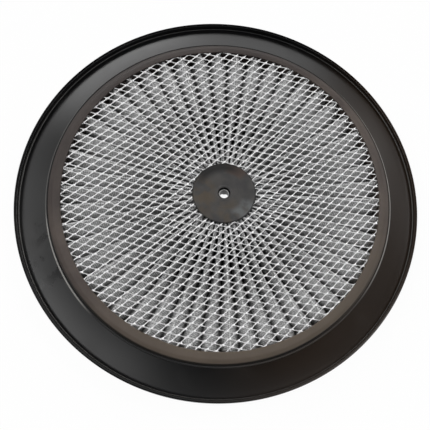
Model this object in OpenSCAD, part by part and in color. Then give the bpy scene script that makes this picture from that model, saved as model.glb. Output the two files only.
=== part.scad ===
// Round lid of a carburetor air cleaner that breathes through its own top.
// A moulded rim carries a filter ring; the ring and a hub in the middle hold
// a pack of radial pleats between two diamond screens.
// Millimetres, +Z up. The origin is on the axis, on the plane the lid stands on.

/* [Rim] */
// Diameter over the standing lip
rim_d = 355.6; // [345:0.1:375]
// Thickness of the standing lip
lip_w = 2.6; // [1.8:0.1:4]
// Height of the lip above the flange's outer edge
lip_h = 5.5; // [3.5:0.1:8]
// Height of the lip's top above the foot of the lid
lip_top_z = 15; // [13.5:0.1:20]
// Width of the sloping flange, from the lip to the riser
flange_w = 25.2; // [20:0.1:30]
// Rise of the flange from the lip to its inner edge
cone_rise = 11.3; // [9:0.1:14]
// Thickness of the flange's wall
flange_t = 3; // [2:0.1:4]
// Thickness of the rim below the lip's foot
land_t = 3; // [2:0.1:4]
// Width of the flat seal land under the rim
land_w = 12; // [9:0.1:16]
// Radius of the fillet at the lip's foot
foot_round = 0.9; // [0.5:0.1:2]

/* [Collar] */
// Thickness of the riser around the opening
riser_t = 1.6; // [1.2:0.1:2.5]
// Height of the riser above the flange's inner edge
riser_h = 1.6; // [1:0.1:2.4]
// Thickness of the collar below the flange
collar_t = 2.8; // [2:0.1:4]
// Width of the ledge that carries the filter ring
ledge_w = 3.6; // [2.5:0.1:6]
// Thickness of that ledge
ledge_t = 2.4; // [1.6:0.1:4]

/* [Filter ring] */
// Wall of the ring beside the pleats
ring_wall = 8.9; // [7.5:0.1:12]
// How far the ring's two lips reach over the screens
grip = 1.2; // [0.8:0.1:2.5]
// Thickness of the lip under the lower screen
ring_floor_t = 1.6; // [1.2:0.1:3]
// Height of the crown's outer edge above the flange's inner edge
crown_out_h = 3.7; // [3:0.1:5]
// Height of the crown's inner edge above the flange's inner edge
crown_in_h = 7.7; // [6:0.1:9]
// Radius of the crown's outer shoulder
shoulder_round = 1.5; // [0.8:0.1:2]
// Thickness of the crown's inner edge over the upper screen
crown_edge_t = 0.7; // [0.5:0.1:1.2]

/* [Screens] */
// Thickness of each diamond screen
screen_t = 0.9; // [0.6:0.1:1.5]
// Long way of one diamond
diamond_long = 12.2; // [10:0.1:16]
// Short way of one diamond
diamond_short = 6.5; // [5:0.1:9]
// Width of one strand
strand_w = 1.1; // [0.8:0.1:1.6]
// Only one strand in this many is drawn, which keeps the screen light
strand_step = 4; // [4:1:6]
// Turn of the diamonds' long way from the X axis
screen_turn = 16.5; // [-90:0.5:90]

/* [Pleats] */
// Number of pleats around the hub
pleats = 50; // [40:1:52]
// Width of the flat along each fold
fold_w = 1.5; // [1.3:0.1:1.6]
// Thickness of each wire cloth
wire_t = 0.3; // [0.2:0.05:0.35]
// Thickness of the cotton gauze
gauze_t = 0.6; // [0.4:0.05:0.65]

/* [Hub] */
// Diameter of the hub's two discs
hub_d = 55; // [52:0.1:64]
// How far the hub's core and the pleats stay inside the disc's edge
core_inset = 0.4; // [0.3:0.1:1]
// How far the discs reach over the screens
hub_grip = 1.6; // [1.2:0.1:4]
// Thickness of the upper disc at its edge
hub_edge_t = 0.9; // [0.7:0.1:1.5]
// Width of the flat around the upper disc's hollow
hub_flat = 1.4; // [0.8:0.1:3]
// Depth of the upper disc's hollow
hub_dish = 0.6; // [0.3:0.1:0.8]
// Thickness of the lower disc
hub_floor_t = 1.4; // [1:0.1:2.4]
// Diameter of the low ring around the hole
boss_d = 13.6; // [12:0.1:18]
// Height of that ring above the hollow
boss_h = 0.3; // [0.2:0.1:0.6]

/* [Stud sleeve] */
// Diameter of the stud's hole
stud_bore_d = 7.4; // [6.5:0.1:8.5]
// Wall of the sleeve
sleeve_t = 0.95; // [0.8:0.05:1.3]
// Depth of the sleeve's top below the hub's hollow
sleeve_sink = 2; // [1:0.1:4]

/* [Fits] */
// Gap between pieces that are bonded or laid against each other
seat_gap = 0.1; // [0.05:0.05:0.2]

/* [Hidden] */
$fn = 180;

// Segments in the arc of a rounded edge, and the bevel of a plain edge
arc_steps = 8;
bevel = 0.35;

// Rim
rim_r = rim_d / 2;
lip_in_r = rim_r - lip_w;
foot_z = lip_top_z - lip_h;
land_z = foot_z - land_t;
land_r = rim_r - land_w;
riser_r = lip_in_r - flange_w;
eye_r = riser_r - riser_t;
flange_in_z = foot_z + cone_rise;
riser_z = flange_in_z + riser_h;
collar_r = eye_r + collar_t;
cone_angle = atan2(cone_rise, flange_w);
flange_drop = flange_t / cos(cone_angle);

// Filter ring
ring_r = eye_r - seat_gap;
ring_wall_r = ring_r - ring_wall;
ring_lip_r = ring_wall_r - grip;
crown_out_z = flange_in_z + crown_out_h;
crown_in_z = flange_in_z + crown_in_h;
crown_angle = atan2(crown_in_z - crown_out_z, ring_r - ring_lip_r);

// Levels of the screens and of the pleats between them
low_screen_z = ledge_t + ring_floor_t;
top_screen_z = crown_in_z - crown_edge_t - screen_t;
pack_r = ring_wall_r - seat_gap;
pack_low_z = low_screen_z + screen_t + seat_gap;
pack_top_z = top_screen_z - seat_gap;

// Hub and sleeve
hub_r = hub_d / 2;
core_r = hub_r - core_inset;
neck_r = hub_r - hub_grip;
pack_in_r = core_r + seat_gap;
screen_hole_r = neck_r + seat_gap;
hub_low_z = low_screen_z - hub_floor_t;
screen_top_z = top_screen_z + screen_t;
hub_edge_z = screen_top_z + hub_edge_t;
hub_floor_z = hub_edge_z - hub_dish;
boss_r = boss_d / 2;
stud_bore_r = stud_bore_d / 2;
sleeve_r = stud_bore_r + sleeve_t;
hub_hole_r = sleeve_r + seat_gap;
sleeve_top_z = hub_floor_z - sleeve_sink;

// Pleats: total thickness, depth of the middle surface, and the radii at which
// the sheets have a row of points
pack_t = 2 * wire_t + gauze_t;
fold_depth = pack_top_z - pack_low_z - pack_t;
fold_mid_z = (pack_top_z + pack_low_z) / 2;
fold_radii = [pack_in_r, (2 * pack_in_r + pack_r) / 3, pack_r];

// Half diagonals of the drawn diamonds, before and after the strand is left
cell_half_long = strand_step * diamond_long / 2;
cell_half_short = strand_step * diamond_short / 2;
strand_pitch = 2 * cell_half_long * cell_half_short / norm([cell_half_long, cell_half_short]);
hole_share = 1 - strand_w / strand_pitch;

// Points of an arc about (x, z), from one angle to another
function arc(x, z, r, from, to) =
    [for (i = [0 : arc_steps]) let (a = from + (to - from) * i / arc_steps)
        [x + r * cos(a), z + r * sin(a)]];

// Height of the flange's upper face at a radius
function flange_z(r) = foot_z + (lip_in_r - r) * tan(cone_angle);

module rim() {
    fillet_z = foot_z + foot_round * (1 + sin(cone_angle)) / cos(cone_angle);
    inner_fillet = riser_h / 2;
    inner_x = riser_r + inner_fillet;
    inner_z = flange_z(inner_x) + inner_fillet / cos(cone_angle);
    color("#1a1a1c")
    rotate_extrude()
        polygon(concat(
            [[eye_r, ledge_t], [eye_r - ledge_w, ledge_t], [eye_r - ledge_w, 0],
             [collar_r, 0], [collar_r, flange_z(collar_r) - flange_drop],
             [land_r, flange_z(land_r) - flange_drop], [land_r, land_z],
             [rim_r - bevel, land_z], [rim_r, land_z + bevel],
             [rim_r, lip_top_z - bevel], [rim_r - bevel, lip_top_z],
             [lip_in_r + bevel, lip_top_z], [lip_in_r, lip_top_z - bevel]],
            arc(lip_in_r - foot_round, fillet_z, foot_round, 0, -90 - cone_angle),
            arc(inner_x, inner_z, inner_fillet, -90 - cone_angle, -180),
            [[riser_r, riser_z - bevel], [riser_r - bevel, riser_z],
             [eye_r + bevel, riser_z], [eye_r, riser_z - bevel]]));
}

module filter_ring() {
    shoulder_z = crown_out_z - shoulder_round * (1 - sin(crown_angle)) / cos(crown_angle);
    color("#4a423e")
    rotate_extrude()
        polygon(concat(
            [[ring_r, ledge_t], [ring_lip_r, ledge_t], [ring_lip_r, low_screen_z],
             [ring_wall_r, low_screen_z], [ring_wall_r, screen_top_z + seat_gap],
             [ring_lip_r, screen_top_z + seat_gap], [ring_lip_r, crown_in_z - bevel],
             [ring_lip_r + bevel, crown_in_z - bevel * tan(crown_angle)]],
            arc(ring_r - shoulder_round, shoulder_z, shoulder_round, 90 - crown_angle, 0)));
}

// One flat screen: a disc with a hole for the hub and a field of diamonds.
// The diamonds stop short of both edges, where the ring and the hub hold it.
module screen(z) {
    field_out_r = ring_lip_r + grip / 2;
    field_in_r = hub_r - hub_grip / 2;
    reach = ceil(field_out_r / cell_half_short);
    color("#c9cacc")
    translate([0, 0, z])
    difference() {
        cylinder(h = screen_t, r = pack_r);
        translate([0, 0, -1])
            cylinder(h = screen_t + 2, r = screen_hole_r);
        intersection() {
            translate([0, 0, -1])
            difference() {
                cylinder(h = screen_t + 2, r = field_out_r);
                translate([0, 0, -1])
                    cylinder(h = screen_t + 4, r = field_in_r);
            }
            rotate([0, 0, screen_turn])
            for (i = [-reach : reach])
                for (j = [-reach : reach])
                    if ((i + j) % 2 == 0)
                        diamond_at(i * cell_half_long, j * cell_half_short, field_in_r, field_out_r);
        }
    }
}

// A diamond's prism, if any of it lies in the field between two radii
module diamond_at(x, y, in_r, out_r) {
    a = cell_half_long * hole_share;
    b = cell_half_short * hole_share;
    if (norm([max(abs(x) - a, 0), max(abs(y) - b, 0)]) < out_r && norm([x, y]) + a > in_r)
        translate([x, y, -1])
        linear_extrude(height = screen_t + 2)
            polygon([[a, 0], [0, b], [-a, 0], [0, -b]]);
}

module top_screen() {
    screen(top_screen_z);
}

module bottom_screen() {
    screen(low_screen_z);
}

// One fold line's two corner points at a radius: half is half the flat's width
function fold_pair(angle, half, r, z) =
    let (x = sqrt(r * r - half * half))
    [for (y = [-half, half])
        [x * cos(angle) - y * sin(angle), x * sin(angle) + y * cos(angle), z]];

// Row of points around one radius of a surface that lies off the middle of the
// sheets by a distance: two on each ridge and two in each valley
function fold_row(r, off) =
    let (step = 360 / pleats,
         run = PI * r / pleats - fold_w,
         lean = off * tan(atan2(fold_depth, run) / 2))
    [for (i = [0 : pleats - 1], k = [0, 1], p = k == 0
            ? fold_pair(i * step, fold_w / 2 + lean, r, fold_mid_z + fold_depth / 2 + off)
            : fold_pair((i + 0.5) * step, fold_w / 2 - lean, r, fold_mid_z - fold_depth / 2 + off)) p];

// A folded sheet between two such surfaces, closed at its inner and outer ends
module folded_sheet(low_off, top_off) {
    rows = len(fold_radii);
    width = 4 * pleats;
    layer = rows * width;
    points = concat(
        [for (r = fold_radii, p = fold_row(r, low_off)) p],
        [for (r = fold_radii, p = fold_row(r, top_off)) p]);
    faces = concat(
        [for (k = [0 : rows - 2], i = [0 : width - 1], t = [0, 1])
            let (a = k * width + i, b = k * width + (i + 1) % width)
            t == 0 ? [a, b, b + width] : [a, b + width, a + width]],
        [for (k = [0 : rows - 2], i = [0 : width - 1], t = [0, 1])
            let (a = layer + k * width + i, b = layer + k * width + (i + 1) % width)
            t == 0 ? [a, b + width, b] : [a, a + width, b + width]],
        [for (i = [0 : width - 1], t = [0, 1])
            let (a = i, b = (i + 1) % width)
            t == 0 ? [a, a + layer, b + layer] : [a, b + layer, b]],
        [for (i = [0 : width - 1], t = [0, 1])
            let (a = (rows - 1) * width + i, b = (rows - 1) * width + (i + 1) % width)
            t == 0 ? [a, b + layer, a + layer] : [a, b, b + layer]]);
    polyhedron(points = points, faces = faces);
}

module upper_wire_cloth() {
    color("#b9bbbd")
    folded_sheet(gauze_t / 2, pack_t / 2);
}

module cotton_gauze() {
    color("#d8d6d2")
    folded_sheet(-gauze_t / 2, gauze_t / 2);
}

module lower_wire_cloth() {
    color("#a9abad")
    folded_sheet(-pack_t / 2, -gauze_t / 2);
}

module hub() {
    color("#3a3838")
    rotate_extrude()
        polygon([
            [hub_hole_r, hub_low_z], [hub_r - bevel, hub_low_z],
            [hub_r, hub_low_z + bevel], [hub_r, low_screen_z],
            [neck_r, low_screen_z], [neck_r, pack_low_z], [core_r, pack_low_z],
            [core_r, pack_top_z], [neck_r, pack_top_z], [neck_r, screen_top_z],
            [hub_r, screen_top_z], [hub_r, hub_edge_z - bevel],
            [hub_r - bevel, hub_edge_z], [hub_r - hub_flat, hub_edge_z],
            [(hub_r + boss_r) / 2, hub_floor_z + hub_dish / 5],
            [boss_r + boss_h, hub_floor_z], [boss_r, hub_floor_z + boss_h],
            [hub_hole_r + bevel, hub_floor_z + boss_h],
            [hub_hole_r, hub_floor_z + boss_h - bevel]]);
}

module stud_sleeve() {
    color("#8f9194")
    translate([0, 0, hub_low_z])
    difference() {
        cylinder(h = sleeve_top_z - hub_low_z, r = sleeve_r);
        translate([0, 0, -1])
            cylinder(h = sleeve_top_z - hub_low_z + 2, r = stud_bore_r);
    }
}

rim();
filter_ring();
top_screen();
upper_wire_cloth();
cotton_gauze();
lower_wire_cloth();
bottom_screen();
hub();
stud_sleeve();
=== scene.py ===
"""The looks of a round air cleaner lid: a moulded rim, a cast filter ring and hub,
folded wire cloth over cotton gauze, and two bright diamond screens.
Millimetres are turned into metres with MM. +Z is up, the origin is on the lid's
axis on the plane it stands on."""

import math

import bpy
from mathutils import Matrix, Vector


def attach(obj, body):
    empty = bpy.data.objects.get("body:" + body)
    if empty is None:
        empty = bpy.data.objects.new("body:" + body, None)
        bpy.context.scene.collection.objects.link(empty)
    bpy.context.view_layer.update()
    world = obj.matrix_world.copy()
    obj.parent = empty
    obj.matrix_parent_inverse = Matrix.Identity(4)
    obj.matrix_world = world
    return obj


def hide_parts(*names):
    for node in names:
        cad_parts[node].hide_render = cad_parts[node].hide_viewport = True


MM = 0.001
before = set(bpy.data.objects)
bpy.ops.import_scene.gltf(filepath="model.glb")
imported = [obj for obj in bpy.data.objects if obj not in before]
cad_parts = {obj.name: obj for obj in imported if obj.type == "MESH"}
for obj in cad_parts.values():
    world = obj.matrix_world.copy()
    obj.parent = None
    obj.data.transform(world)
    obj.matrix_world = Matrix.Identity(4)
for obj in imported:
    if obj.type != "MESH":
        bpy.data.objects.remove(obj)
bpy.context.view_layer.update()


# Node trees

class Wire:
    """A socket of a node tree. Arithmetic on it adds Math nodes to that tree."""

    def __init__(self, tree, socket):
        self.tree, self.socket = tree, socket

    def __add__(self, other):
        return self.tree.math("ADD", self, other)

    def __sub__(self, other):
        return self.tree.math("SUBTRACT", self, other)

    def __rsub__(self, other):
        return self.tree.math("SUBTRACT", other, self)

    def __mul__(self, other):
        return self.tree.math("MULTIPLY", self, other)

    def __truediv__(self, other):
        return self.tree.math("DIVIDE", self, other)

    def __rtruediv__(self, other):
        return self.tree.math("DIVIDE", other, self)

    def __pow__(self, other):
        return self.tree.math("POWER", self, other)

    def __neg__(self):
        return self.tree.math("MULTIPLY", self, -1.0)

    def __lt__(self, other):
        return self.tree.math("LESS_THAN", self, other)

    def __gt__(self, other):
        return self.tree.math("GREATER_THAN", self, other)

    __radd__ = __add__
    __rmul__ = __mul__


class Tree:
    """A node tree that is written as expressions."""

    def __init__(self, tree):
        self.tree = tree

    def node(self, kind, settings=None, inputs=None, output=0):
        """One node: its settings first, then the values or wires of its sockets."""
        made = self.tree.nodes.new(kind)
        for name, value in (settings or {}).items():
            setattr(made, name, value)
        for name, value in (inputs or {}).items():
            for item in value if isinstance(value, list) else [value]:
                if isinstance(item, Wire):
                    self.tree.links.new(item.socket, made.inputs[name])
                else:
                    made.inputs[name].default_value = item
        return Wire(self, made.outputs[output]) if len(made.outputs) else made

    def math(self, operation, *values):
        return self.node("ShaderNodeMath", {"operation": operation}, dict(enumerate(values)))

    def mix(self, share, low, high):
        """Numbers mixed by a share."""
        return self.node("ShaderNodeMix", {"clamp_factor": False}, {0: share, 2: low, 3: high})

    def tint(self, share, low, high):
        """Colours mixed by a share."""
        return self.node("ShaderNodeMix", {"data_type": "RGBA"}, {0: share, 6: low, 7: high}, 2)

    def smooth(self, value, low, high):
        """A value brought from a range to 0 to 1 with soft ends. low may be the larger."""
        return self.node("ShaderNodeMapRange", {"interpolation_type": "SMOOTHSTEP"},
                         {0: value, 1: low, 2: high})

    def clamp(self, value):
        """A value held between 0 and 1."""
        return self.math("MAXIMUM", self.math("MINIMUM", value, 1.0), 0.0)

    def apart(self, vector):
        """The three numbers of a vector."""
        made = self.tree.nodes.new("ShaderNodeSeparateXYZ")
        self.tree.links.new(vector.socket, made.inputs[0])
        return [Wire(self, out) for out in made.outputs]

    def joined(self, x, y, z):
        return self.node("ShaderNodeCombineXYZ", None, {0: x, 1: y, 2: z})

    def noise(self, place, scale, detail=2.0, roughness=0.5):
        """Noise from 0 to 1."""
        return self.node("ShaderNodeTexNoise", None, {
            "Vector": place, "Scale": scale, "Detail": detail, "Roughness": roughness})


# Meshes

def rounded(corners, steps=6):
    """The outline of a polygon whose corners are (radius, height, rounding)."""
    points = []
    for i, (x, z, bend) in enumerate(corners):
        here = Vector((x, z))
        back = (Vector(corners[i - 1][:2]) - here)
        ahead = (Vector(corners[(i + 1) % len(corners)][:2]) - here)
        half = back.angle(ahead) / 2
        if bend == 0:
            points.append(here)
            continue
        reach = bend / math.tan(half)
        start, end = here + back.normalized() * reach, here + ahead.normalized() * reach
        middle = here + (back.normalized() + ahead.normalized()).normalized() * (bend / math.sin(half))
        turn = (start - middle).angle_signed(end - middle)
        for k in range(steps + 1):
            a = -turn * k / steps
            arm = start - middle
            points.append(middle + Vector((arm.x * math.cos(a) - arm.y * math.sin(a),
                                           arm.x * math.sin(a) + arm.y * math.cos(a))))
    return points


def turned(name, outline, material, around, shift=None):
    """A closed outline of (radius, height) in millimetres, turned round the axis.
    shift gives a point's change of radius and height at an angle."""
    count = len(outline)
    area = sum(outline[i - 1][0] * p[1] - p[0] * outline[i - 1][1] for i, p in enumerate(outline))
    places, faces = [], []
    for i in range(around):
        angle = 2 * math.pi * i / around
        for x, z in outline:
            dx, dz = shift(x, z, angle) if shift else (0.0, 0.0)
            places.append(((x + dx) * math.cos(angle) * MM, (x + dx) * math.sin(angle) * MM, (z + dz) * MM))
    for i in range(around):
        a, b = i * count, (i + 1) % around * count
        for k in range(count):
            n = (k + 1) % count
            face = (a + k, b + k, b + n, a + n)
            faces.append(face if area > 0 else face[::-1])
    return solid(name, places, faces, material)


def solid(name, places, faces, material, sharp=38):
    """A mesh object with smooth faces and sharp edges past an angle in degrees."""
    mesh = bpy.data.meshes.new(name)
    mesh.from_pydata(places, [], faces)
    mesh.materials.append(material)
    mesh.polygons.foreach_set("use_smooth", [True] * len(mesh.polygons))
    mesh.set_sharp_from_angle(angle=math.radians(sharp))
    made = bpy.data.objects.new(name, mesh)
    bpy.context.scene.collection.objects.link(made)
    return made


def geometry_tree(name, sizes):
    """An empty Geometry Nodes tree with named number inputs."""
    group = bpy.data.node_groups.new(name, "GeometryNodeTree")
    group.interface.new_socket(name="Geometry", in_out="OUTPUT", socket_type="NodeSocketGeometry")
    for label, value in sizes.items():
        kind = "NodeSocketInt" if isinstance(value, int) else "NodeSocketFloat"
        group.interface.new_socket(name=label, in_out="INPUT", socket_type=kind).default_value = value
    entry = group.nodes.new("NodeGroupInput")
    tree = Tree(group)
    return tree, {s.name: Wire(tree, s) for s in entry.outputs if s.name}


def finish_tree(tree, shape, material):
    """Realize Instances and Set Material, then the tree's output."""
    shape = tree.node("GeometryNodeRealizeInstances", None, {"Geometry": shape})
    shape = tree.node("GeometryNodeSetMaterial", None, {"Geometry": shape, "Material": material})
    tree.node("NodeGroupOutput", None, {"Geometry": shape})


def grown(name, group, sizes):
    """The plain mesh object that a Geometry Nodes tree makes for the given sizes."""
    holder = bpy.data.objects.new(name + "_holder", bpy.data.meshes.new(name + "_holder"))
    bpy.context.scene.collection.objects.link(holder)
    nodes = holder.modifiers.new("shape", "NODES")
    nodes.node_group = group
    for item in group.interface.items_tree:
        if item.item_type == "SOCKET" and item.in_out == "INPUT" and item.name in sizes:
            nodes[item.identifier] = sizes[item.name]
    evaluated = holder.evaluated_get(bpy.context.evaluated_depsgraph_get())
    mesh = bpy.data.meshes.new_from_object(evaluated)
    mesh.name = name
    bpy.data.objects.remove(holder)
    made = bpy.data.objects.new(name, mesh)
    bpy.context.scene.collection.objects.link(made)
    return made


# Finishes

def finish(name, **sockets):
    """A new material: its tree, its surface node and the place on the object."""
    material = bpy.data.materials.new(name)
    material.use_nodes = True
    surface = material.node_tree.nodes["Principled BSDF"]
    for label, value in sockets.items():
        surface.inputs[label.replace("_", " ")].default_value = value
    tree = Tree(material.node_tree)
    place = tree.node("ShaderNodeTexCoord", None, None, 3)
    return material, tree, surface, place


def feed(tree, surface, **wires):
    for label, wire in wires.items():
        tree.tree.links.new(wire.socket, surface.inputs[label.replace("_", " ")])


def bump(tree, height, distance, strength=1.0):
    return tree.node("ShaderNodeBump", None, {"Height": height, "Distance": distance, "Strength": strength})


def ring_place(tree, place):
    """Radius and the cosine and sine of the angle of a place, from the lid's axis."""
    x, y, z = tree.apart(place)
    radius = tree.math("SQRT", x * x + y * y)
    return radius, x / radius, y / radius, z


def facing(tree, cosine, sine, angle, inner, outer):
    """1 within inner degrees of an angle round the axis, 0 beyond outer degrees."""
    turn = math.radians(angle)
    toward = cosine * math.cos(turn) + sine * math.sin(turn)
    return tree.smooth(toward, math.cos(math.radians(outer)), math.cos(math.radians(inner)))


def band(tree, value, middle, half, soft):
    """1 inside a narrow band of a value, with soft sides."""
    return tree.smooth(tree.math("ABSOLUTE", value - middle), half + soft, half)


def moulded_black():
    """Semi-gloss black plastic with a faint moulded grain. The brown at the right, the
    marks at the left and the light lines at the riser and the lip's foot are placed by
    angle after the photo. Which of them are marks and which are its light isn't known.
    The brown at the right is a painted reflection, and the light lines at the riser and
    the lip's foot are painted highlights."""
    material, tree, surface, place = finish("moulded_black")
    radius, cosine, sine, z = ring_place(tree, place)
    cloud = tree.noise(place, 26.0, 3.0)
    marks = tree.smooth(cloud, 0.52, 0.72)
    grain = tree.noise(place, 1400.0, 2.0)
    # Painted reflection: a clouded brownish tone on the right of the rim.
    brown_reflection = facing(tree, cosine, sine, -15, 40, 85) * (0.7 + cloud * 0.6)
    smear = facing(tree, cosine, sine, 200, 6, 16) * tree.smooth(tree.noise(place, 70.0, 3.0), 0.46, 0.6)
    colour = tree.tint(marks, (0.002, 0.002, 0.0022, 1), (0.006, 0.0058, 0.0056, 1))
    colour = tree.tint(brown_reflection, colour, (0.0135, 0.007, 0.003, 1))
    # Painted highlight: a thin light line along the lip's foot, left out at the far side.
    foot = band(tree, radius, 0.1747, 0.0002, 0.0004) * (1 - facing(tree, cosine, sine, 95, 30, 75))
    foot = foot * tree.smooth(z, 0.0135, 0.0125) * (0.6 + cloud * 0.5)
    colour = tree.tint(foot, colour, (0.055, 0.052, 0.048, 1))
    # Painted highlight: a light line on the riser's top edge, at the right and the left.
    edge = tree.clamp(facing(tree, cosine, sine, 8, 22, 48) + facing(tree, cosine, sine, 207, 8, 20)
                      + facing(tree, cosine, sine, 180, 20, 45) * 0.25)
    edge = edge * band(tree, radius, 0.1503, 0.0004, 0.0004) * tree.smooth(z, 0.0195, 0.0202)
    colour = tree.tint(edge * 0.8, colour, (0.34, 0.33, 0.31, 1))
    lip = tree.smooth(radius, 0.1748, 0.1753)
    feed(tree, surface,
         Base_Color=colour,
         Roughness=tree.mix(lip, 0.34 + marks * 0.06 - smear * 0.1, 0.17) + (grain - 0.5) * 0.06,
         Normal=bump(tree, grain, 0.00002, 0.35))
    return material


def ring_urethane():
    """Brownish cast urethane, satin and mottled. Painted light makes it lighter at the near
    right, and painted shade makes it darker at the far side and near black along the near
    outer edge, to follow the photo's tones. The dark edge is painted shade that stands in
    for a black band in the photo."""
    material, tree, surface, place = finish("ring_urethane", IOR=1.3)
    radius, cosine, sine, z = ring_place(tree, place)
    mottle = tree.smooth(tree.noise(place, 30.0, 4.0, 0.6), 0.32, 0.68)
    # Painted light makes the near right lighter, and painted shade makes the far side darker.
    lighter = facing(tree, cosine, sine, 290, 20, 80)
    darker = facing(tree, cosine, sine, 120, 40, 90)
    colour = tree.tint(mottle, (0.054, 0.042, 0.037, 1), (0.088, 0.07, 0.06, 1))
    colour = tree.tint(lighter * 0.6, colour, (0.13, 0.105, 0.08, 1))
    colour = tree.tint(darker * 0.6, colour, (0.016, 0.0125, 0.013, 1))
    # Painted shade: near black along the ring's near outer edge, below the shoulder.
    shade = facing(tree, cosine, sine, 268, 30, 85) * tree.smooth(radius, 0.1462, 0.1474)
    colour = tree.tint(shade * 0.95, colour, (0.004, 0.0035, 0.003, 1))
    skin = tree.noise(place, 500.0, 3.0)
    feed(tree, surface,
         Base_Color=colour,
         Roughness=0.48 + (mottle - 0.5) * 0.08,
         Normal=bump(tree, skin, 0.00006, 0.4))
    return material


def screen_metal():
    """Bright satin sheet, slightly uneven. The strands that rise to the right are
    made brighter than the others with painted light, to follow the photo."""
    material, tree, surface, place = finish("screen_metal", Metallic=0.6)
    uneven = tree.noise(place, 160.0, 2.0)
    rising = tree.node("ShaderNodeAttribute", {"attribute_name": "rising"}, None, 2)
    # Painted light: the strands that rise to the right are made brighter than the others.
    feed(tree, surface,
         Base_Color=tree.tint(rising * 0.7 + uneven * 0.5, (0.68, 0.68, 0.685, 1), (0.86, 0.86, 0.86, 1)),
         Roughness=0.36 + uneven * 0.16,
         Normal=bump(tree, tree.noise(place, 900.0, 2.0), 0.00005, 0.35))
    return material


def wire_cloth(name, thread, gap, pitch=1.6):
    """Woven cloth on the folded sheet's own map: threads run along and across the folds.
    Painted shade darkens it in the valleys, at the ridge tops under the screen and toward
    the hub, and painted light makes it lighter toward the rim, to follow the photo's tones.
    Noise adds painted glints to the threads."""
    material, tree, surface, place = finish(name)
    across, along, _ = tree.apart(tree.node("ShaderNodeUVMap", {"uv_map": "cloth"}))
    turns = 2 * math.pi / (pitch * MM)
    warp = tree.math("COSINE", along * turns)
    weft = tree.math("COSINE", across * turns)
    over = tree.math("COSINE", along * (turns / 2)) * tree.math("COSINE", across * (turns / 2))
    lift = tree.math("MAXIMUM", warp + over * 0.5, weft - over * 0.5)
    worn = tree.noise(place, 60.0, 3.0)
    # Painted glints: fine noise brightens the threads in small spots.
    glint = tree.smooth(tree.noise(place, 640.0, 1.0), 0.4, 0.6)
    cover = tree.clamp(tree.smooth(lift, 0.1, 0.95) * (0.3 + glint))
    radius, cosine, sine, z = ring_place(tree, place)
    # Painted shade: darker in the valleys, at the ridge tops under the screen and toward the hub.
    inward = tree.smooth(radius, 0.11, 0.03)
    shade = tree.smooth(z, 0.013, 0.006) * (0.7 + inward * 0.3) + tree.smooth(z, 0.0252, 0.0262) * 0.4
    shade = tree.clamp(shade + inward * 0.75 * tree.smooth(z, 0.0262, 0.0238))
    # Painted light: the threads are lighter toward the rim.
    outer = tree.smooth(radius, 0.08, 0.125)
    cover = tree.clamp(cover + outer * 0.22)
    colour = tree.tint(shade, tree.tint(cover, gap, thread), (0.03, 0.03, 0.03, 1))
    feed(tree, surface,
         Base_Color=colour,
         Metallic=cover * 0.15,
         Roughness=0.62 - cover * 0.2 + (worn - 0.5) * 0.1,
         Normal=bump(tree, lift + worn * 0.6, 0.00016, 0.8))
    return material


def sleeve_steel():
    """Steel tube with turned rings on its end. Inside it is dark above, with painted shade,
    and near white below, with painted light. The white is a stand-in for the background that
    the photo shows through the hole: this sleeve is too long for the camera to see through."""
    material, tree, surface, place = finish("sleeve_steel", Metallic=1.0)
    radius, cosine, sine, z = ring_place(tree, place)
    rings = tree.noise(tree.joined(radius, 0.0, z), 5200.0, 1.0)
    inside = tree.smooth(radius, 0.0041, 0.0039)
    # Painted shade darkens the bore's upper part, and painted light makes its lower part near white.
    depth = z - tree.math("ABSOLUTE", cosine) * 0.004
    dark = inside * tree.smooth(depth, 0.0125, 0.0145) * tree.smooth(z, 0.0252, 0.0247)
    white = inside * tree.smooth(depth, 0.0145, 0.0125)
    colour = tree.tint(rings, (0.46, 0.46, 0.46, 1), (0.6, 0.6, 0.59, 1))
    colour = tree.tint(dark, colour, (0.03, 0.03, 0.03, 1))
    colour = tree.tint(white, colour, (0.98, 0.98, 0.98, 1))
    feed(tree, surface,
         Base_Color=colour,
         Roughness=tree.mix(white, 0.34 + rings * 0.12, 0.08))
    return material


# The lid's pieces

RIM_R, LIP_IN_R, RISER_R, EYE_R = 177.8, 175.2, 150.0, 148.4
FOOT_Z, RISE = 9.5, 11.3
SLOPE = RISE / (LIP_IN_R - RISER_R)


def flange_z(radius):
    return FOOT_Z + (LIP_IN_R - radius) * SLOPE


def rim():
    """Moulded rim: lip, sloping flange, riser, collar and ledge."""
    under = 3 * math.hypot(1, SLOPE)
    outline = rounded([
        (EYE_R, 2.4, 0.3), (144.8, 2.4, 0.3), (144.8, 0, 0.4), (151.2, 0, 0.5),
        (151.2, flange_z(151.2) - under, 1.2), (165.8, flange_z(165.8) - under, 0.9),
        (165.8, 6.5, 0.4), (RIM_R, 6.5, 0.35), (RIM_R, 15, 0.35), (LIP_IN_R, 15, 0.35),
        (LIP_IN_R, FOOT_Z, 0.9), (RISER_R, flange_z(RISER_R), 0.8),
        (RISER_R, 22.4, 0.35), (EYE_R, 22.4, 0.35)])
    return turned("moulded_rim", outline, moulded_black(), 600)


def filter_ring():
    """Cast ring round the pleats. Its inner lip wanders a little over the screen."""
    outline = rounded([
        (148.3, 2.4, 0.3), (138.2, 2.4, 0.3), (138.2, 4.0, 0), (139.2, 4.0, 0), (139.2, 27.8, 0),
        (138.2, 27.8, 0), (138.2, 28.5, 0.28), (144.0, 26.9, 6.0), (148.3, 23.5, 0.8)])

    def shift(x, z, angle):
        if x > 139 or z < 20:
            return 0.0, 0.0
        wave = 0.12 * math.sin(7 * angle + 1) + 0.1 * math.sin(17 * angle) + 0.08 * math.sin(31 * angle + 2)
        return 0.5 * math.cos(angle) + 0.4 * math.sin(angle) + wave - 0.3, 0.0

    return turned("cast_filter_ring", outline, ring_urethane(), 600, shift)


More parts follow.
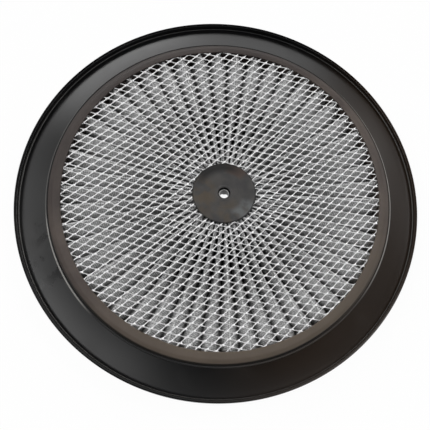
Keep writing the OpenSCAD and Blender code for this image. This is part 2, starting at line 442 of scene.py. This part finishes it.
def hub_urethane():
    """Cast hub: near black, with brownish and bluish clouds, a faint ring and a dark
    hole. The clouds and the darker far edge are placed by angle after the photo. The dark
    hole, the darker far edge and a dark ring along the outer edge are painted shade."""
    material, tree, surface, place = finish("hub_urethane", IOR=1.36)
    radius, cosine, sine, z = ring_place(tree, place)
    cloud = tree.noise(place, 75.0, 3.0, 0.6)
    colour = tree.tint(tree.smooth(cloud, 0.35, 0.65), (0.044, 0.043, 0.044, 1), (0.062, 0.059, 0.056, 1))
    brown = facing(tree, cosine, sine, 185, 15, 60) + facing(tree, cosine, sine, 285, 20, 60) * 0.7
    brown = tree.clamp(brown)
    brown = brown * tree.smooth(radius, 0.005, 0.014) * tree.smooth(tree.noise(place, 110.0, 2.0), 0.35, 0.6)
    colour = tree.tint(brown * 0.8, colour, (0.078, 0.062, 0.044, 1))
    rust = facing(tree, cosine, sine, 66, 8, 28) * tree.smooth(radius, 0.017, 0.021)
    colour = tree.tint(rust * 0.7, colour, (0.072, 0.045, 0.034, 1))
    pale = facing(tree, cosine, sine, 318, 12, 34) * tree.smooth(radius, 0.014, 0.02)
    colour = tree.tint(pale * tree.smooth(cloud, 0.3, 0.6) * 0.8, colour, (0.12, 0.128, 0.132, 1))
    # Painted shade: darker at the far side and in a thin ring along the hub's outer edge.
    far_shade = facing(tree, cosine, sine, 108, 25, 62) * tree.smooth(radius, 0.0165, 0.0235)
    far_shade = tree.clamp(far_shade + band(tree, radius, 0.0272, 0.0002, 0.0006) * 0.8)
    colour = tree.tint(far_shade * 0.85, colour, (0.006, 0.006, 0.006, 1))
    # Painted shade: near black round the hole and inside it.
    hole = tree.smooth(radius, 0.0056, 0.005)
    colour = tree.tint(hole, colour, (0.0015, 0.0015, 0.0015, 1))
    skin = tree.noise(place, 420.0, 3.0)
    ring = band(tree, radius, 0.0131, 0.0001, 0.0004)
    feed(tree, surface,
         Base_Color=colour,
         Roughness=tree.clamp(0.4 + (cloud - 0.5) * 0.2 + far_shade * 0.3 + hole * 0.5),
         Normal=bump(tree, skin + ring * 2.0, 0.00006, 0.5))
    return material


def hub():
    """Cast hub with a hollow, a low ring round the hole and a soft edge."""
    outline = rounded([
        (4.75, 2.6, 0.3), (27.5, 2.6, 0.4), (27.5, 4.0, 0.1), (25.9, 4.0, 0), (25.9, 5.0, 0),
        (27.1, 5.0, 0), (27.1, 26.8, 0), (25.9, 26.8, 0), (25.9, 27.8, 0), (27.5, 27.8, 0.1),
        (27.5, 28.7, 0.45), (25.6, 28.68, 2.5), (18.0, 28.2, 6), (7.3, 28.1, 0.3),
        (6.9, 28.35, 0.15), (4.75, 28.4, 0.4)])
    return turned("cast_hub", outline, hub_urethane(), 240)


def sleeve():
    outline = rounded([(3.7, 2.6, 0.15), (4.65, 2.6, 0.15), (4.65, 25.3, 0.3), (3.7, 25.3, 0.3)])
    return turned("steel_sleeve", outline, sleeve_steel(), 96)


# Angle of the first ridge from the X axis, in degrees
PLEAT_TURN = 0.2


def folded_cloth_tree(material):
    """A radial pleated sheet between two surfaces that lie off the middle one.
    The grid's X runs round the pleats and its Y runs round the sheet's own section."""
    tree, size = geometry_tree("folded cloth", {
        "Pleats": 50, "Inner Radius": 0.0272, "Outer Radius": 0.1393, "Middle Level": 0.0159,
        "Fold Depth": 0.0206, "Fold Radius": 0.00075, "Low Offset": 0.0003, "High Offset": 0.0006,
        "Turn": 0.0, "Wander": 0.1, "Sag": 0.0009, "Settling": 0.0002})
    bends, rows = 9, 14
    grid = tree.node("GeometryNodeMeshGrid", None, {
        "Size X": size["Pleats"], "Size Y": 1.0,
        "Vertices X": size["Pleats"] * (2 * bends) + 1, "Vertices Y": 2 * rows + 1})
    x, y, _ = tree.apart(tree.node("GeometryNodeInputPosition"))
    row = (y + 0.5) * (2 * rows)
    top = tree.clamp((row < rows - 0.5) + (row > 2 * rows - 0.5))
    reach = tree.clamp(tree.math("MINIMUM", row / (rows - 1), (2 * rows - 1 - row) / (rows - 1)))
    pleat = tree.math("ROUND", tree.node("GeometryNodeFieldOnDomain", {"domain": "FACE"}, {0: x}))

    def section(number):
        """Angle in pleats, radius, height and cloth length at a point of a pleat."""
        side = x - number
        share = tree.math("ABSOLUTE", side) * 2
        radius = tree.mix(reach, size["Inner Radius"], size["Outer Radius"])
        half = radius * math.pi / size["Pleats"]
        off = tree.mix(top, size["Low Offset"], size["High Offset"])
        fold = size["Fold Radius"]
        drop = size["Fold Depth"] - fold * 2
        span = tree.math("SQRT", half * half + drop * drop)
        lean = tree.math("ARCTAN2", drop, half) + tree.math("ARCSINE", fold * 2 / span)
        ridge = lean * tree.clamp(share * 3)
        valley = lean * tree.clamp((1 - share) * 3)
        along = tree.clamp(share * 3 - 1)
        ridge_x = (fold + off) * tree.math("SINE", ridge)
        ridge_z = size["Fold Depth"] / 2 - fold + (fold + off) * tree.math("COSINE", ridge)
        valley_x = half - (fold - off) * tree.math("SINE", valley)
        valley_z = fold - size["Fold Depth"] / 2 - (fold - off) * tree.math("COSINE", valley)
        straight = tree.math("SQRT", span * span - fold * fold * 4)
        sign = tree.math("SIGN", side)
        length = fold * ridge + straight * along + fold * (lean - valley)
        turn = number + sign * tree.mix(along, ridge_x, valley_x) / (half * 2)
        return turn, radius, tree.mix(along, ridge_z, valley_z), sign * length

    turn, radius, height, length = section(pleat)
    grid = tree.node("GeometryNodeStoreNamedAttribute", {"data_type": "FLOAT2", "domain": "CORNER"}, {
        "Geometry": grid, "Name": "cloth", "Value": tree.joined(radius, length + pleat * 0.00041, 0.0)})
    turn, radius, height, length = section(tree.math("ROUND", x))
    angle = turn / size["Pleats"] * (2 * math.pi) + size["Turn"]
    circle = tree.joined(tree.math("COSINE", angle), tree.math("SINE", angle), radius * 4)
    sway = (tree.noise(circle, 3.2, 2.0) - 0.5) * size["Wander"] * (2 * math.pi) / size["Pleats"]
    sag = (tree.noise(circle, 9.0, 2.0) - 0.5) * size["Sag"]
    angle = angle + sway
    place = tree.joined(radius * tree.math("COSINE", angle), radius * tree.math("SINE", angle),
                        size["Middle Level"] + height + sag - size["Settling"])
    shape = tree.node("GeometryNodeSetPosition", None, {"Geometry": grid, "Position": place})
    shape = tree.node("GeometryNodeMergeByDistance", None, {"Geometry": shape, "Distance": 1e-6})
    shape = tree.node("GeometryNodeSetShadeSmooth", None, {"Geometry": shape})
    finish_tree(tree, shape, material)
    return tree.tree


def pleats():
    """Three folded layers: wire cloth, cotton gauze and wire cloth again."""
    bright = wire_cloth("wire_cloth", (0.95, 0.95, 0.95, 1), (0.25, 0.25, 0.253, 1))
    cotton = wire_cloth("cotton_weave", (0.7, 0.69, 0.67, 1), (0.4, 0.39, 0.37, 1), 0.9)
    layers = [
        ("folded_upper_cloth", bright, 0.00032, 0.0006, "upper_wire_cloth", "wire_cloth"),
        ("folded_gauze", cotton, -0.0003, 0.0003, "cotton_gauze", "gauze"),
        ("folded_lower_cloth", bright, -0.0006, -0.00032, "lower_wire_cloth", "wire_cloth")]
    made = []
    for name, material, low, high, node, slot in layers:
        sizes = {"Low Offset": low, "High Offset": high, "Turn": math.radians(PLEAT_TURN)}
        made.append((grown(name, folded_cloth_tree(material), sizes), node, slot))
    return made


def diamond_screen_tree(material):
    """An expanded sheet. One cell, a diamond with a rounded hole, is repeated over
    the lattice, and the lattice is then bowed and spread as the stretching left it."""
    tree, size = geometry_tree("diamond screen", {
        "Diamond Long": 0.01223, "Diamond Short": 0.006545, "Screen Turn": math.radians(16.5),
        "Level": 0.02735, "Thickness": 0.0004, "Hole Share": 0.88, "Corner Power": 5.5,
        "Strand Tilt": 0.0003, "Hub Reach": 0.026, "Ring Reach": 0.1392,
        "Bow": 0.326, "Spread": -0.282, "Columns": 51, "Shift Along": 0.29, "Shift Across": 0.112,
        "Merge Distance": 0.004, "Ripple": 0.0003})
    cell = tree.node("GeometryNodeMeshGrid", None, {
        "Size X": 1.0, "Size Y": 1.0, "Vertices X": 17, "Vertices Y": 2})
    x, y, _ = tree.apart(tree.node("GeometryNodeInputPosition"))
    angle = (x + 0.5) * (2 * math.pi)
    cosine, sine = tree.math("COSINE", angle), tree.math("SINE", angle)
    wide, tall = tree.math("ABSOLUTE", cosine), tree.math("ABSOLUTE", sine)
    power = size["Corner Power"]
    hole = size["Hole Share"] * 0.5 / (wide ** power + tall ** power) ** (1 / power)
    inner = y + 0.5
    radius = tree.mix(inner, 0.5 / tree.math("MAXIMUM", wide, tall), hole)
    cell = tree.node("GeometryNodeStoreNamedAttribute", {"data_type": "FLOAT", "domain": "POINT"}, {
        "Geometry": cell, "Name": "tilt", "Value": inner * (cosine - sine) * radius})
    # Marks the rising strands, which the screen material brightens with painted light.
    cell = tree.node("GeometryNodeStoreNamedAttribute", {"data_type": "FLOAT", "domain": "FACE"}, {
        "Geometry": cell, "Name": "rising", "Value": wide > tall})
    cell = tree.node("GeometryNodeSetPosition", None, {
        "Geometry": cell, "Position": tree.joined(radius * cosine, radius * sine, 0.0)})

    def spread(place):
        """Position on the sheet, in metres, of a place counted in strands. The bend's
        coefficients and the shift come from a fit to the photo's strands."""
        a, b, _ = tree.apart(place)
        a, b = a + size["Shift Along"], b - size["Shift Across"]
        far = (a + b) * size["Diamond Long"] * 0.5
        near = (b - a) * size["Diamond Short"] * 0.5
        c, s = tree.math("COSINE", size["Screen Turn"]), tree.math("SINE", size["Screen Turn"])
        u, v = far * c - near * s, far * s + near * c
        return (u + u * v * size["Spread"] + v * v * 0.05 + u * u * u * 1.1 + u * v * v * 1.9,
                v + u * u * size["Bow"] + v * v * 0.03 + v * v * v * 0.87)

    lattice = tree.node("GeometryNodeMeshGrid", None, {
        "Size X": size["Columns"] - 1, "Size Y": size["Columns"] - 1,
        "Vertices X": size["Columns"], "Vertices Y": size["Columns"]})
    lattice = tree.node("GeometryNodeTransform", None, {
        "Geometry": lattice, "Translation": (0.5, 0.5, 0.0)})
    x, y = spread(tree.node("GeometryNodeInputPosition"))
    distance = tree.math("SQRT", x * x + y * y)
    shape = tree.node("GeometryNodeInstanceOnPoints", None, {
        "Points": lattice, "Instance": cell,
        "Selection": (distance > size["Hub Reach"] - 0.006) * (distance < size["Ring Reach"] + 0.006)})
    shape = tree.node("GeometryNodeRealizeInstances", None, {"Geometry": shape})
    shape = tree.node("GeometryNodeMergeByDistance", None, {
        "Geometry": shape, "Distance": size["Merge Distance"]})
    x, y = spread(tree.node("GeometryNodeInputPosition"))
    distance = tree.math("SQRT", x * x + y * y)
    outside = tree.clamp((distance < size["Hub Reach"]) + (distance > size["Ring Reach"]))
    shape = tree.node("GeometryNodeDeleteGeometry", {"domain": "FACE"}, {
        "Geometry": shape, "Selection": outside})
    held = tree.math("MINIMUM", distance, size["Ring Reach"])
    held = tree.math("MAXIMUM", held, size["Hub Reach"]) / distance
    x, y = x * held, y * held
    tilt = tree.node("GeometryNodeInputNamedAttribute", {"data_type": "FLOAT"}, {"Name": "tilt"})
    uneven = (tree.noise(tree.joined(x, y, 0.0), 90.0, 1.0) - 0.5) * size["Ripple"]
    shape = tree.node("GeometryNodeSetPosition", None, {"Geometry": shape, "Position": tree.joined(
        x, y, size["Level"] + size["Thickness"] / 2 + tilt * size["Strand Tilt"] + uneven)})
    back = tree.node("GeometryNodeFlipFaces", None, {"Mesh": shape})
    wall = tree.node("GeometryNodeExtrudeMesh", {"mode": "FACES"}, {
        "Mesh": shape, "Offset": tree.joined(0.0, 0.0, -size["Thickness"]), "Offset Scale": 1.0,
        "Individual": False})
    shape = tree.node("GeometryNodeJoinGeometry", None, {"Geometry": [back, wall]})
    shape = tree.node("GeometryNodeMergeByDistance", None, {"Geometry": shape, "Distance": 1e-6})
    shape = tree.node("GeometryNodeFlipFaces", None, {"Mesh": shape})
    shape = tree.node("GeometryNodeSetShadeSmooth", None, {"Geometry": shape})
    finish_tree(tree, shape, material)
    return tree.tree


def screens():
    """The diamond screens above and below the pleats."""
    tree = diamond_screen_tree(screen_metal())
    return [(grown("upper_diamond_screen", tree, {}), "top_screen", "screen_metal"),
            (grown("lower_diamond_screen", tree, {"Level": 0.00445}), "bottom_screen", "screen_metal")]


# Stage, light and camera

def floor():
    """Pale floor that the camera and the glossy pieces see as white."""
    material, tree, surface, place = finish("pale_floor", Roughness=0.9, Base_Color=(0.86, 0.86, 0.86, 1))
    path = tree.tree.nodes.new("ShaderNodeLightPath")
    rays = ("Is Camera Ray", "Is Glossy Ray", "Is Transmission Ray")
    seen = [Wire(tree, path.outputs[name]) for name in rays]
    white = tree.node("ShaderNodeEmission", None, {"Color": (1, 1, 1, 1), "Strength": 1.0})
    both = tree.node("ShaderNodeMixShader", None, {
        0: tree.clamp(seen[0] + seen[1] + seen[2]) * 0.96,
        1: Wire(tree, surface.outputs[0]), 2: white})
    out = material.node_tree.nodes["Material Output"]
    tree.tree.links.new(both.socket, out.inputs[0])
    size = 15.0
    made = solid("floor", [(-size, -size, 0), (size, -size, 0), (size, size, 0), (-size, size, 0)],
                 [(0, 1, 2, 3)], material)


# The studio's light cards: azimuth of the middle and half width in degrees, sine of
# the elevation from and to, and radiance. The radiances began as a least-squares fit
# to the photo's tones, made by a scratch program, and were then rounded and changed
# by hand.
CARDS = [
    (0, 181, -0.2, 0.2, 0.4), (285, 60, 0.85, 0.96, 1.4), (180, 18, 0.64, 0.84, 4.7),
    (218, 18, 0.64, 0.84, 2.7), (146, 17, 0.46, 0.84, 1.8), (180, 25, 0.22, 0.45, 1.05),
    (117, 14, 0.2, 0.44, 5.6), (88, 20, 0.1, 0.44, 1.7), (57, 17, 0.22, 0.62, 0.35),
    (35, 17, 0.61, 0.79, 7.4), (0, 20, 0.6, 0.84, 0.2), (345, 35, 0.87, 0.96, 3.8),
    (10, 35, 0.0, 0.17, 2.0), (330, 20, 0.2, 0.5, 0.35), (90, 70, 0.945, 1.0, 0.9)]


def studio():
    """A dim room with soft-edged light cards round the lid, the same for every ray."""
    world = bpy.data.worlds.new("studio")
    bpy.context.scene.world = world
    world.use_nodes = True
    tree = Tree(world.node_tree)
    x, y, z = tree.apart(tree.node("ShaderNodeTexCoord", None, None, 0))
    level = tree.math("SQRT", x * x + y * y + 1e-9)
    light = 0.0
    for azimuth, half, low, high, radiance in CARDS:
        start, end = math.cos(math.radians(half + 9)), math.cos(math.radians(half - 9))
        away = tree.math("ABSOLUTE", z - (low + high) / 2)
        reach = (high - low) / 2
        card = tree.smooth(away, reach + 0.05, reach - 0.05)
        if half < 180:
            turn = math.radians(azimuth)
            toward = (x * math.cos(turn) + y * math.sin(turn)) / level
            card = card * tree.smooth(toward, start, end)
        light = card * radiance + light
    sky = world.node_tree.nodes["Background"]
    tree.tree.links.new(light.socket, sky.inputs["Color"])
    sky.inputs["Strength"].default_value = 1.0


def camera():
    """The photograph's view, fitted to the lid's circles."""
    data = bpy.data.cameras.new("view")
    data.sensor_width, data.lens = 36.0, 54.42
    data.shift_x, data.shift_y = -0.1863, 0.0707
    data.clip_start, data.clip_end = 0.01, 50.0
    made = bpy.data.objects.new("view", data)
    right, up = Vector((0.99135, 0.0, 0.13126)), Vector((-0.03571, 0.96227, 0.26974))
    back = right.cross(up)
    place = Matrix((right, up, back)).transposed().to_4x4()
    place.translation = Vector((-8.64, -197.94, 563.85)) * MM
    made.matrix_world = place
    bpy.context.scene.collection.objects.link(made)
    bpy.context.scene.camera = made


# The lid, put together

def dress(piece, node):
    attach(piece, "root")
    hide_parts(node)


bpy.context.scene.view_settings.view_transform = "Standard"
camera()
floor()
studio()
dress(rim(), "rim")
dress(filter_ring(), "filter_ring")
dress(hub(), "hub")
dress(sleeve(), "stud_sleeve")
for piece, node, slot in pleats() + screens():
    dress(piece, node)
